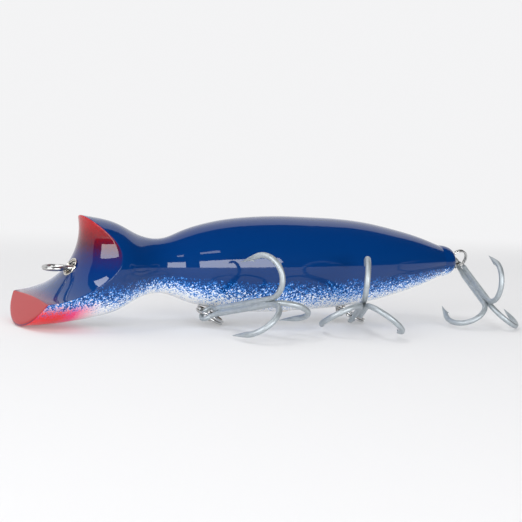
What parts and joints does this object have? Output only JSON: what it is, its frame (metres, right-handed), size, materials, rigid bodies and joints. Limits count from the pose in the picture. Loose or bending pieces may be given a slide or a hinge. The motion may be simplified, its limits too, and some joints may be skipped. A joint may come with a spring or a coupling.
{
  "type": "topwater popper lure",
  "caption": "Through-wired wooden surface lure with a scooped face, wire line tie, swivelled belly hooks and a tail hook.",
  "frame": {"origin": "centre of the line tie loop, on the axis of the turned body", "axes": "+X along the body from nose to tail, +Z towards the back (top) of the lure, +Y to its right looking at the tail"},
  "size_m": [0.1937, 0.0639, 0.0399],
  "materials": {
    "painted_wood": "high-gloss clear coat over airbrushed blue, white speckle and a pink-red lip",
    "stainless_wire": "bright drawn wire",
    "nickel_washer": "polished nickel",
    "lead": "dull cast lead",
    "filler_wood": "painted over",
    "brass_grommet": "plain brass",
    "brass_barrel": "plain brass",
    "split_ring_steel": "bright spring steel",
    "tinned_hook": "satin bluish tin plate"
  },
  "bodies": {
    "lure_body": {"wood_body": "painted_wood", "through_wire": "stainless_wire", "nose_grommet": "nickel_washer", "tail_grommet": "nickel_washer", "belly_weight": "lead", "weight_plug": "filler_wood", "front_belly_grommet": "brass_grommet", "mid_belly_grommet": "brass_grommet"},
    "front_swivel_top": {"front_swivel_top_eye": "stainless_wire"},
    "front_barrel": {"front_swivel_barrel": "brass_barrel"},
    "front_swivel_low": {"front_swivel_low_eye": "stainless_wire"},
    "front_ring": {"front_split_ring": "split_ring_steel"},
    "front_treble": {"front_treble_double": "tinned_hook", "front_treble_single": "tinned_hook"},
    "mid_swivel_top": {"mid_swivel_top_eye": "stainless_wire"},
    "mid_barrel": {"mid_swivel_barrel": "brass_barrel"},
    "mid_swivel_low": {"mid_swivel_low_eye": "stainless_wire"},
    "mid_ring": {"mid_split_ring": "split_ring_steel"},
    "mid_treble": {"mid_treble_double": "tinned_hook", "mid_treble_single": "tinned_hook"},
    "tail_ring": {"tail_split_ring": "split_ring_steel"},
    "tail_treble": {"tail_treble_double": "tinned_hook", "tail_treble_single": "tinned_hook"}
  },
  "joints": [
    {"name": "front_eye_swing", "type": "hinge", "parent": "lure_body", "child": "front_swivel_top", "pos_m": [0.06, 0, 0], "axis": [1, 0, 0], "range_deg": [-5, 5]},
    {"name": "front_barrel_spin", "type": "hinge", "parent": "front_swivel_top", "child": "front_barrel", "pos_m": [0.06, 0, -0.01355], "axis": [0, 0, 1], "continuous": true},
    {"name": "front_swivel_turn", "type": "hinge", "parent": "front_swivel_top", "child": "front_swivel_low", "pos_m": [0.06, 0, -0.01355], "axis": [0, 0, 1], "range_deg": [-30, 15]},
    {"name": "front_ring_swing", "type": "hinge", "parent": "front_swivel_low", "child": "front_ring", "pos_m": [0.06, 0, -0.0172], "axis": [0.5878, -0.809, 0], "range_deg": [0, 80]},
    {"name": "front_treble_swing", "type": "hinge", "parent": "front_ring", "child": "front_treble", "pos_m": [0.0544, -0.0079, -0.0159], "axis": [0.6804, 0.0529, -0.731], "range_deg": [-5, 5]},
    {"name": "mid_eye_swing", "type": "hinge", "parent": "lure_body", "child": "mid_swivel_top", "pos_m": [0.115, 0, 0], "axis": [1, 0, 0], "range_deg": [-2.5, 2.5]},
    {"name": "mid_barrel_spin", "type": "hinge", "parent": "mid_swivel_top", "child": "mid_barrel", "pos_m": [0.115, 0, -0.01355], "axis": [0, 0, 1], "continuous": true},
    {"name": "mid_swivel_turn", "type": "hinge", "parent": "mid_swivel_top", "child": "mid_swivel_low", "pos_m": [0.115, 0, -0.01355], "axis": [0, 0, 1], "range_deg": [-15, 45]},
    {"name": "mid_ring_swing", "type": "hinge", "parent": "mid_swivel_low", "child": "mid_ring", "pos_m": [0.115, 0, -0.0172], "axis": [0.9976, -0.0698, 0], "range_deg": [0, 80]},
    {"name": "mid_treble_swing", "type": "hinge", "parent": "mid_ring", "child": "mid_treble", "pos_m": [0.1153, -0.0102, -0.0188], "axis": [0.3964, -0.5097, -0.7636], "range_deg": [-10, 40]},
    {"name": "tail_ring_swing", "type": "hinge", "parent": "lure_body", "child": "tail_ring", "pos_m": [0.1661, 0, 0], "axis": [0, -0.5, 0.866], "range_deg": [0, 30]},
    {"name": "tail_treble_swing", "type": "hinge", "parent": "tail_ring", "child": "tail_treble", "pos_m": [0.1719, 0.0016, -0.0023], "axis": [0.2692, -0.4162, 0.8685], "range_deg": [-15, 40]}
  ]
}
